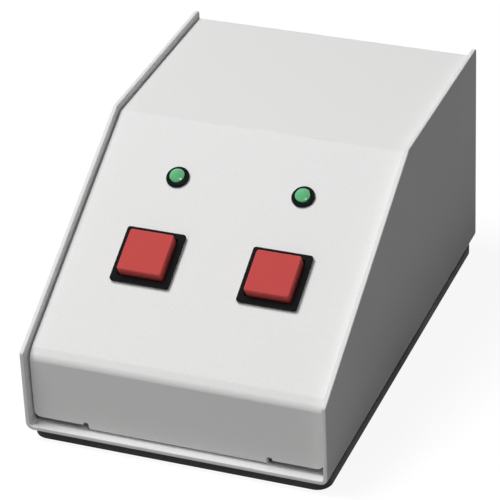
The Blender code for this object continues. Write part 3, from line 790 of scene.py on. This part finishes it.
@dataclass(frozen=True)
class Finishes:
    """The finishes of the console."""

    paint: PowderCoat = PowderCoat(
        Slot.POWDER_COAT,
        color=(0.80, 0.80, 0.795),
        roughness=0.62,
        specular=0.05,
        speckle_scale=1900.0,
        peel_scale=900.0,
        peel_depth=0.05 * MM,
    )
    rubber: Rubber = Rubber(
        Slot.BLACK_RUBBER,
        color=(0.045, 0.045, 0.045),
        roughness=0.8,
        specular=0.3,
        grain_scale=1300.0,
        grain_depth=0.08 * MM,
    )
    black: Moulded = Moulded(
        Slot.BLACK_PLASTIC, color=(0.006, 0.006, 0.0065), roughness=0.5, specular=0.08
    )
    red: Moulded = Moulded(
        Slot.RED_PLASTIC,
        color=(0.535, 0.074, 0.070),
        roughness=0.5,
        specular=0.15,
        grain_scale=2600.0,
        grain_depth=0.015 * MM,
    )
    ivory: Moulded = Moulded(Slot.IVORY_PLASTIC, color=(0.62, 0.58, 0.47), roughness=0.5)
    green: Lens = Lens(
        Slot.GREEN_LENS,
        color=(0.060, 0.44, 0.17),
        roughness=0.16,
        depth=1.5 * MM,
        depth_by_color=(0.3, 1.0, 0.5),
        polish=0.12,
    )
    zinc: Plated = Plated(Slot.ZINC_STEEL, color=(0.62, 0.63, 0.64), roughness=0.36)
    brass: Plated = Plated(Slot.TINNED_BRASS, color=(0.66, 0.60, 0.45), roughness=0.34)

    def by_slot(self) -> dict[Slot, Finish]:
        """Returns each finish under its slot."""
        return {finish.slot: finish for finish in vars(self).values()}


# Enclosure

def box_middle(name: str) -> Vector:
    """Returns the middle of a node's box."""
    low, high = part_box(name)
    return (low + high) / 2


@dataclass(frozen=True)
class Layout:
    """Planes and places that the pieces share, worked out from the frame."""

    front_height: float = 28.8 * MM
    slope_depth: float = 82.3 * MM
    recess: float = 2.5 * MM
    button_up: float = 41.5 * MM
    lamp_up: float = 72.2 * MM
    low: Vector = field(default_factory=lambda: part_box("base_chassis")[0])
    high: Vector = field(default_factory=lambda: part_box("base_chassis")[1])

    @property
    def slope(self) -> float:
        """The angle of the sloping panel above the horizontal."""
        return atan2(self.high.z - self.low.z - self.front_height, self.slope_depth)

    def panel(self, x: float, up: float) -> Matrix:
        """Returns a place on the sloping panel, with local Z square out of it and local Y up it.

        Args:
            x: The place's X.
            up: How far up the slope it is from the front corner of the walls.

        Returns:
            The place as a matrix.
        """
        y = self.low.y + up * cos(self.slope) + self.recess * sin(self.slope)
        z = self.low.z + self.front_height + up * sin(self.slope) - self.recess * cos(self.slope)
        return Matrix.Translation((x, y, z)) @ Matrix.Rotation(self.slope, 4, "X")


@dataclass
class Case:
    """The enclosure: folded steel base, folded cover and dark rubber pad, whose edge under the
    console is also painted shadow at its foot.

    Bends are given by their outer radius. The press line is the first, shallow bend that the
    front edge of the cover takes, above its corner.
    """

    layout: Layout
    finishes: Finishes
    sheet: float = 1.5 * MM
    arris: float = 0.38 * MM
    base_bend: float = 2.6 * MM
    wall_corner: float = 1.2 * MM
    front_bend: float = 3.4 * MM
    press_line: float = 2.9 * MM
    press_turn: float = radians(16.0)
    press_bend: float = 1.8 * MM
    crease_bend: float = 4.0 * MM
    back_bend: float = 1.9 * MM
    foot_bend: float = 1.9 * MM
    foot_length: float = 14.0 * MM
    foot_width: float = 60.0 * MM
    flange_lift: float = 1.95 * MM
    relief: float = 1.8 * MM
    relief_rise: float = 1.0 * MM
    relief_crown: float = 0.98
    cover_corner: float = 2.5 * MM
    top_lift: float = 0.25 * MM
    button_hole: float = 17.8 * MM
    lamp_hole: float = 3.5 * MM
    cable_hole: float = 6.3 * MM
    screw_hole: float = 1.8 * MM
    pad_corner: float = 5.0 * MM
    pad_hole: float = 4.2 * MM
    pad_arris: float = 0.5 * MM
    trim_reach: float = 5.0 * MM
    hole_reach: float = 3.0 * MM

    def build(self) -> None:
        """Builds and dresses the enclosure's pieces."""
        self.build_base()
        self.build_cover()
        self.build_pad_and_foot_shadow()

    def drill(self, piece: Workpiece, radius: float, low: float, high: float) -> None:
        """Drills a round hole at each cover screw.

        Args:
            piece: The piece to drill.
            radius: The radius of the holes.
            low: The height of the lower face.
            high: The height of the upper face.
        """
        for name in CoverScrew.names():
            middle = box_middle(name)
            piece.cut(cylinder(radius, low - OVERRUN, high + OVERRUN, (middle.x, middle.y)))

    def build_base(self) -> None:
        """Folds the U of the base and trims its walls to the side view of the console."""
        low, high = self.layout.low, self.layout.high
        over = self.trim_reach
        rise = high.z + over
        path = [(low.x, rise), (low.x, low.z), (high.x, low.z), (high.x, rise)]
        sheet = folded(path, [self.base_bend] * 2, low.y, high.y, Axis.Y)
        base = Workpiece("base_shell", sheet)
        base.thicken(self.sheet)
        outline = [
            (high.y, low.z - over),
            (high.y, high.z),
            (low.y + self.layout.slope_depth, high.z),
            (low.y, low.z + self.layout.front_height),
            (low.y, low.z - over),
        ]
        corner = self.wall_corner
        radii = [0.0, corner, corner, corner, 0.0]
        base.trim(prism(outline, radii, low.x - over, high.x + over, Axis.X))
        self.drill(base, self.screw_hole, low.z, low.z + self.sheet)
        base.ease(self.arris).dress(self.finishes.paint, "root", "base_chassis")

    def cover_path(self) -> list[Point]:
        """Works out the cover's outer face in side view.

        Returns:
            Its corners, from the front foot to the back foot.
        """
        low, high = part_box("cover")
        lowered = self.layout.recess / cos(self.layout.slope)
        rise = tan(self.layout.slope)
        start = self.layout.low.z + self.layout.front_height - lowered
        corner = start + self.layout.recess * rise
        top = high.z + self.top_lift
        crease = self.layout.low.y + (top - start) / rise
        slope, turn = self.layout.slope, self.press_turn
        line = (low.y + self.press_line * cos(slope), corner + self.press_line * sin(slope))
        drop = self.press_line * sin(turn) / cos(slope + turn)
        return [
            (low.y + self.foot_length, low.z),
            (low.y, low.z),
            (low.y, corner - drop),
            line,
            (crease, top),
            (high.y, top),
            (high.y, low.z),
            (high.y - self.foot_length, low.z),
        ]

    def stencil(self) -> tuple[list[Point], list[float]]:
        """Works out the cover's outline in front view, with its bend reliefs and foot.

        Returns:
            The corners of the outline and their radii.
        """
        low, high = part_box("cover")
        half, top, edge = high.x, high.z + self.trim_reach, low.z + self.flange_lift
        foot = self.foot_width / 2
        far, relief_top = foot + self.relief, edge + self.relief_rise
        crown = self.relief / 2 * self.relief_crown
        right = [
            (half, top),
            (half, edge),
            (far, edge),
            (far, relief_top),
            (foot, relief_top),
            (foot, low.z - OVERRUN),
        ]
        radii = [0.0, self.cover_corner, 0.0, crown, crown, 0.0]
        mirrored = [(-x, z) for x, z in reversed(right)]
        return right + mirrored, radii + radii[::-1]

    def build_cover(self) -> None:
        """Folds the cover, trims it to its front view and cuts its holes."""
        low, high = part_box("cover")
        over = self.hole_reach
        bends = [
            self.foot_bend,
            self.front_bend,
            self.press_bend,
            self.crease_bend,
            self.back_bend,
            self.foot_bend,
        ]
        sheet = folded(self.cover_path(), bends, low.x - OVERRUN, high.x + OVERRUN, Axis.X)
        cover = Workpiece("cover_shell", sheet)
        cover.thicken(self.sheet)
        points, radii = self.stencil()
        cover.trim(prism(points, radii, low.y - over, high.y + over, Axis.Y))
        for side in Side:
            bezel = Button.middle_x(side)
            hole = square(self.button_hole, 0.0, -self.sheet - over, over)
            hole.transform(self.layout.panel(bezel, self.layout.button_up))
            cover.cut(hole)
            hole = cylinder(self.lamp_hole, -self.sheet - over, over)
            hole.transform(self.layout.panel(bezel, self.layout.lamp_up))
            cover.cut(hole)
        self.drill(cover, self.screw_hole, low.z, low.z + self.sheet)
        middle = box_middle("cable_grommet")
        place = Matrix.Translation((middle.x, high.y, middle.z))
        hole = cylinder(self.cable_hole, -self.sheet - over, self.sheet + over)
        hole.transform(place @ Matrix.Rotation(pi / 2, 4, "X"))
        cover.cut(hole)
        cover.ease(self.arris).dress(self.finishes.paint, "root", "cover")

    def build_pad_and_foot_shadow(self) -> None:
        """Makes the dark rubber pad with its rounded corners, its holes and soft edges; its strip
        under the console also stands in for the console's shadow, a painted shadow.
        """
        low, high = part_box("base_pad")
        corners = [(low.x, low.y), (high.x, low.y), (high.x, high.y), (low.x, high.y)]
        slab = prism(corners, [self.pad_corner] * 4, low.z, high.z, segments=12)
        pad = Workpiece("rubber_pad_and_foot_shadow", slab)
        self.drill(pad, self.pad_hole, low.z, high.z)
        # The near-black pad is partly real rubber and partly painted shadow along the console's
        # foot.
        pad.ease(self.pad_arris).dress(self.finishes.rubber, "root", "base_pad")


@dataclass
class Grommet:
    """Rubber grommet in the back flange of the cover, with a groove that the sheet sits in."""

    finishes: Finishes
    sheet: float = Case.sheet
    bore: float = 4.0 * MM
    neck: float = 6.0 * MM
    slack: float = 0.3 * MM
    lip_soft: float = 0.75 * MM
    groove_soft: float = 0.15 * MM

    def build(self) -> None:
        """Turns the grommet and lays it on its side in the flange."""
        low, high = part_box("cable_grommet")
        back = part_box("cover")[1].y
        middle = box_middle("cable_grommet")
        rim = (high.z - low.z) / 2
        first, last = low.y - middle.y, high.y - middle.y
        inner, outer = back - self.sheet - self.slack - middle.y, back + self.slack - middle.y
        profile = [
            (self.bore, first),
            (rim, first),
            (rim, inner),
            (self.neck, inner),
            (self.neck, outer),
            (rim, outer),
            (rim, last),
            (self.bore, last),
        ]
        soft, fillet = self.lip_soft, self.groove_soft
        radii = [soft, soft, fillet, 0.0, 0.0, fillet, soft, soft]
        grommet = Workpiece("rubber_grommet", turned(profile, radii))
        grommet.place(Matrix.Translation(middle) @ Matrix.Rotation(-pi / 2, 4, "X"))
        grommet.dress(self.finishes.rubber, "root", "cable_grommet")


@dataclass
class CoverScrew:
    """One cover screw, seen from below: a pan head with a cross recess on a plain shank."""

    node: str
    finishes: Finishes
    head_height: float = 1.8 * MM
    head_soft: float = 1.2 * MM
    rim_soft: float = 0.1 * MM
    shank: float = 1.5 * MM
    tip_soft: float = 0.25 * MM
    recess_arm: float = 1.6 * MM
    recess_half: float = 0.36 * MM
    recess_depth: float = 0.9 * MM
    recess_soft: float = 0.12 * MM

    @staticmethod
    def names() -> list[str]:
        """Returns the names of the cover screws' nodes."""
        return [f"cover_screw_{row}_{side.word}" for row in ("front", "back") for side in Side]

    def build(self) -> None:
        """Turns the screw and cuts its recess."""
        low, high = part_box(self.node)
        head, length = (high.x - low.x) / 2, high.z - low.z
        profile = [
            (0.0, 0.0),
            (head, 0.0),
            (head, self.head_height),
            (self.shank, self.head_height),
            (self.shank, length),
            (0.0, length),
        ]
        radii = [0.0, self.head_soft, self.rim_soft, 0.0, self.tip_soft, 0.0]
        name = self.node.replace("cover", "pan")
        screw = Workpiece(name, turned(profile, radii, closed=False, sides=48))
        arm, half = self.recess_arm, self.recess_half
        for reach, width in ((arm, half), (half, arm)):
            corners = [(-reach, -width), (reach, -width), (reach, width), (-reach, width)]
            soft = [self.recess_soft] * 4
            screw.cut(prism(corners, soft, -OVERRUN, self.recess_depth, segments=3))
        middle = box_middle(self.node)
        screw.place(Matrix.Translation((middle.x, middle.y, low.z)))
        screw.dress(self.finishes.zinc, "root", self.node)


# Controls

@dataclass
class Button:
    """One square push button: bezel housing and red cap. Heights are above the panel."""

    side: Side
    layout: Layout
    finishes: Finishes
    seat_gap: float = 0.3 * MM
    flange: float = 20.0 * MM
    flange_top: float = 1.5 * MM
    flange_corner: float = 0.95 * MM
    flange_arris: float = 0.35 * MM
    well: float = 15.6 * MM
    well_corner: float = 0.5 * MM
    well_floor: float = -5.0 * MM
    barrel: float = 17.2 * MM
    barrel_end: float = -21.0 * MM
    barrel_corner: float = 0.4 * MM
    barrel_lap: float = 0.5 * MM
    neck: float = 12.6 * MM
    neck_corner: float = 0.3 * MM
    neck_end: float = -7.0 * MM
    cap: float = 15.0 * MM
    cap_top: float = 4.6 * MM
    cap_low: float = -2.2 * MM
    cap_corner: float = 0.9 * MM
    cap_arris: float = 0.45 * MM
    cap_ceiling: float = 3.1 * MM

    @staticmethod
    def middle_x(side: Side) -> float:
        """Returns the X of a side's controls."""
        return box_middle(f"{side.word}_button_bezel").x

    @property
    def place(self) -> Matrix:
        """The button's place on the panel."""
        return self.layout.panel(self.middle_x(self.side), self.layout.button_up)

    def build(self) -> None:
        """Builds and dresses the button's visible pieces."""
        self.build_bezel()
        self.build_cap()

    def build_bezel(self) -> None:
        """Makes the bezel: flange with softened edges, well for the cap, neck and barrel."""
        word = self.side.word
        above = self.flange_top + OVERRUN
        plate = square(self.flange, self.flange_corner, self.seat_gap, self.flange_top)
        bezel = Workpiece(f"{word}_bezel_housing", plate)
        bezel.cut(square(self.well, self.well_corner, -OVERRUN, above))
        bezel.ease(self.flange_arris)
        lap = self.seat_gap + self.barrel_lap
        bezel.join(square(self.barrel, self.barrel_corner, self.barrel_end, lap))
        bezel.cut(square(self.well, self.well_corner, self.well_floor, above))
        low, high = self.neck_end - OVERRUN, self.well_floor + OVERRUN
        bezel.cut(square(self.neck, self.neck_corner, low, high))
        bezel.cut(square(self.well, self.well_corner, self.barrel_end - OVERRUN, self.neck_end))
        bezel.place(self.place).dress(self.finishes.black, "root", f"{word}_button_bezel")

    def build_cap(self) -> None:
        """Makes the red cap, a moulded shell with softened top edges, open underneath."""
        word = self.side.word
        block = square(self.cap, self.cap_corner, self.cap_low, self.cap_top)
        cap = Workpiece(f"{word}_red_cap", block)
        cap.ease(self.cap_arris, segments=6, angle=60.0, above=0.0)
        low = self.cap_low - OVERRUN
        cap.cut(square(self.neck, self.neck_corner, low, self.cap_ceiling))
        cap.place(self.place).dress(self.finishes.red, f"{word}_button", f"{word}_button_cap")


@dataclass
class Lamp:
    """One round indicator lamp: black ring and green lens. Widths are radii."""

    side: Side
    layout: Layout
    finishes: Finishes
    seat_gap: float = 0.3 * MM
    ring: float = 3.85 * MM
    ring_top: float = 1.1 * MM
    ring_soft: float = 0.6 * MM
    ring_foot: float = 0.15 * MM
    bore_soft: float = 0.12 * MM
    lens: float = 2.5 * MM
    lens_gap: float = 0.25 * MM
    lens_seat: float = -1.2 * MM
    lens_foot: float = 0.1 * MM
    lens_rim: float = 1.7 * MM
    lens_soft: float = 0.2 * MM
    lens_top: float = 2.45 * MM
    crown_reach: float = 1.3 * MM
    crown_radius: float = 4.1 * MM
    tube: float = 3.2 * MM
    tube_end: float = -8.5 * MM
    tube_soft: float = 0.2 * MM
    led_bore: float = 1.75 * MM

    @property
    def place(self) -> Matrix:
        """The lamp's place on the panel."""
        return self.layout.panel(Button.middle_x(self.side), self.layout.lamp_up)

    def build(self) -> None:
        """Builds and dresses the lamp's visible pieces."""
        self.build_ring()
        self.build_lens()

    def build_ring(self) -> None:
        """Turns the black ring with its soft crown and the tube behind the panel."""
        bore = self.lens + self.lens_gap
        profile = [
            (self.led_bore, self.tube_end),
            (self.tube, self.tube_end),
            (self.tube, self.seat_gap),
            (self.ring, self.seat_gap),
            (self.ring, self.ring_top),
            (bore, self.ring_top),
            (bore, self.lens_seat),
            (self.led_bore, self.lens_seat),
        ]
        soft, foot = self.ring_soft, self.ring_foot
        radii = [0.0, self.tube_soft, 0.0, foot, soft, self.bore_soft, 0.0, 0.0]
        word = self.side.word
        ring = Workpiece(f"{word}_lamp_ring", turned(profile, radii))
        ring.place(self.place).dress(self.finishes.black, "root", f"{word}_lamp_bezel")

    def build_lens(self) -> None:
        """Turns the green lens: a plug with a domed crown."""
        low, top = self.lens_seat + self.seat_gap, self.lens_top
        profile = [
            (0.0, low),
            (self.lens, low),
            (self.lens, self.lens_rim),
            (self.crown_reach, top),
            (0.0, top),
        ]
        radii = [0.0, self.lens_foot, self.lens_soft, self.crown_radius, 0.0]
        word = self.side.word
        lens = Workpiece(f"{word}_green_lens", turned(profile, radii, closed=False, segments=12))
        lens.place(self.place).dress(self.finishes.green, "root", f"{word}_lamp_lens")


@dataclass
class Internals:
    """The nodes that keep their CAD shape and only get a finish.

    They are the fixings inside, the switches, the leads and the terminal strip.
    """

    finishes: Finishes
    nodes: dict[str, bpy.types.Object]

    def slot_of(self, node: bpy.types.Object) -> Slot:
        """Returns the record's slot of a node, read from its own material's name."""
        return Slot(node.data.materials[0].name.split(".")[0])

    def build(self) -> None:
        """Dresses every node that is still shown."""
        by_slot = self.finishes.by_slot()
        for name, node in sorted(self.nodes.items()):
            if node.hide_render:
                continue
            finish = by_slot[self.slot_of(node)]
            for slot in node.material_slots:
                slot.material = finish.material()
            LOG.info("%s keeps its CAD shape, %s", name, finish.slot.value)


# Studio

def grey(shade: float) -> tuple[float, float, float, float]:
    """Returns an opaque grey for a colour socket."""
    return (shade, shade, shade, 1.0)


@dataclass(frozen=True)
class SoftBox:
    """A square studio lamp that looks at a point. Gloss only mirrors the ones set to glint."""

    name: str
    place: tuple[float, float, float]
    size: float
    power: float
    glint: bool = False
    aim: tuple[float, float, float] = (0.0, 0.0, 0.04)

    def build(self) -> None:
        """Adds the lamp to the scene."""
        data = bpy.data.lights.new(self.name, "AREA")
        data.shape = "SQUARE"
        data.size = self.size
        data.energy = self.power
        lamp = bpy.data.objects.new(self.name, data)
        lamp.location = self.place
        lamp.visible_glossy = self.glint
        away = Vector(self.place) - Vector(self.aim)
        lamp.rotation_euler = away.to_track_quat("Z", "Y").to_euler()
        bpy.context.scene.collection.objects.link(lamp)


@dataclass(frozen=True)
class Studio:
    """Pale floor, soft lamps and a dark world that shows white.

    Where the floor is seen directly, it glows nearly white and takes a share of the lamps'
    light, which draws the shadow. Light that bounces meets the plain floor shade.
    """

    floor_size: float = 8.0
    floor_shade: float = 0.29
    floor_glow: float = 0.90
    floor_share: float = 0.14
    world_light: float = 0.0
    lamps: tuple[SoftBox, ...] = (
        SoftBox("overhead", place=(-0.85, -0.25, 2.00), size=1.0, power=39.67),
        SoftBox("front", place=(-0.60, -1.20, 0.60), size=0.9, power=2.9),
        SoftBox("glint", place=(0.42, -0.66, 0.95), size=0.26, power=2.39, glint=True),
    )

    def seen_directly(self, wiring: Wiring) -> Socket:
        """Tells the rays that see a surface from the light that bounces off it.

        Args:
            wiring: The nodes of the material or world.

        Returns:
            1 for rays from the camera and through gloss or glass, and 0 for other light.
        """
        path = wiring.node("ShaderNodeLightPath").outputs
        first = wiring.node(
            "ShaderNodeMath",
            {0: path["Is Camera Ray"], 1: path["Is Glossy Ray"]},
            operation="ADD",
            use_clamp=True,
        )
        both = wiring.node(
            "ShaderNodeMath",
            {0: first.outputs[0], 1: path["Is Transmission Ray"]},
            operation="ADD",
            use_clamp=True,
        )
        return both.outputs[0]

    def build_floor(self) -> None:
        """Lays the floor, which shows white but for the console's soft shadow."""
        bm = bmesh.new()
        bmesh.ops.create_grid(bm, x_segments=2, y_segments=2, size=self.floor_size / 2)
        mesh = bpy.data.meshes.new("studio_floor")
        bm.to_mesh(mesh)
        bm.free()
        floor = bpy.data.objects.new("studio_floor", mesh)
        bpy.context.scene.collection.objects.link(floor)
        material = bpy.data.materials.new("studio_floor")
        material.use_nodes = True
        wiring = Wiring(material.node_tree)
        material.node_tree.nodes.remove(material.node_tree.nodes["Principled BSDF"])
        bounce = wiring.node("ShaderNodeBsdfDiffuse", {"Color": grey(self.floor_shade)})
        seen = wiring.node("ShaderNodeBsdfDiffuse", {"Color": grey(self.floor_share)})
        glow = {"Color": grey(1.0), "Strength": self.floor_glow}
        white = wiring.node("ShaderNodeEmission", glow)
        shown = wiring.node("ShaderNodeAddShader", {0: seen.outputs[0], 1: white.outputs[0]})
        mixed = wiring.node(
            "ShaderNodeMixShader",
            {0: self.seen_directly(wiring), 1: bounce.outputs[0], 2: shown.outputs[0]},
        )
        output = material.node_tree.nodes["Material Output"]
        material.node_tree.links.new(mixed.outputs[0], output.inputs["Surface"])
        mesh.materials.append(material)

    def build_world(self) -> None:
        """Makes the world dark for the light it gives, and white where it is seen."""
        world = bpy.data.worlds.new("studio")
        world.use_nodes = True
        bpy.context.scene.world = world
        wiring = Wiring(world.node_tree)
        background = world.node_tree.nodes["Background"]
        background.inputs["Color"].default_value = grey(1.0)
        seen = self.seen_directly(wiring)
        levels = {"Value": seen, "To Min": self.world_light, "To Max": 1.0}
        strength = wiring.node("ShaderNodeMapRange", levels)
        world.node_tree.links.new(strength.outputs[0], background.inputs["Strength"])

    def build(self) -> None:
        """Builds floor, world and lamps."""
        self.build_floor()
        self.build_world()
        for lamp in self.lamps:
            lamp.build()
        bpy.context.scene.view_settings.view_transform = "Standard"


@dataclass(frozen=True)
class Viewpoint:
    """The photograph's camera, turned round its target. Angles are in degrees."""

    azimuth: float = 22.11
    elevation: float = 31.228
    roll: float = -2.513
    distance: float = 1087.4 * MM
    target: tuple[float, float, float] = (-50.183 * MM, 115.49 * MM, -42.033 * MM)
    lens: float = 206.43
    sensor: float = 36.0
    clip: tuple[float, float] = (0.05, 20.0)

    def build(self) -> None:
        """Adds the camera and makes it the scene's."""
        turn, rise, roll = map(radians, (self.azimuth, self.elevation, self.roll))
        back = Vector((sin(turn) * cos(rise), -cos(turn) * cos(rise), sin(rise)))
        right = (-back).cross(Vector((0.0, 0.0, 1.0))).normalized()
        up = right.cross(-back)
        across = cos(roll) * right + sin(roll) * up
        upward = cos(roll) * up - sin(roll) * right
        data = bpy.data.cameras.new("photo_view")
        data.lens = self.lens
        data.sensor_width = self.sensor
        data.sensor_fit = "HORIZONTAL"
        data.clip_start, data.clip_end = self.clip
        camera = bpy.data.objects.new("photo_view", data)
        place = Matrix.Translation(Vector(self.target) + back * self.distance)
        axes = Matrix((across, upward, back)).transposed().to_4x4()
        camera.matrix_world = place @ axes
        bpy.context.scene.collection.objects.link(camera)
        bpy.context.scene.camera = camera


def main() -> None:
    """Builds the console's looks, the studio and the camera."""
    logging.basicConfig(level=logging.INFO, format="%(name)s: %(message)s")
    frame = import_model()
    Viewpoint().build()
    Studio().build()
    finishes = Finishes()
    layout = Layout()
    Case(layout, finishes).build()
    Grommet(finishes).build()
    for node in CoverScrew.names():
        CoverScrew(node, finishes).build()
    for side in Side:
        Button(side, layout, finishes).build()
        Lamp(side, layout, finishes).build()
    Internals(finishes, frame["nodes"]).build()


if __name__ == "__main__":
    main()
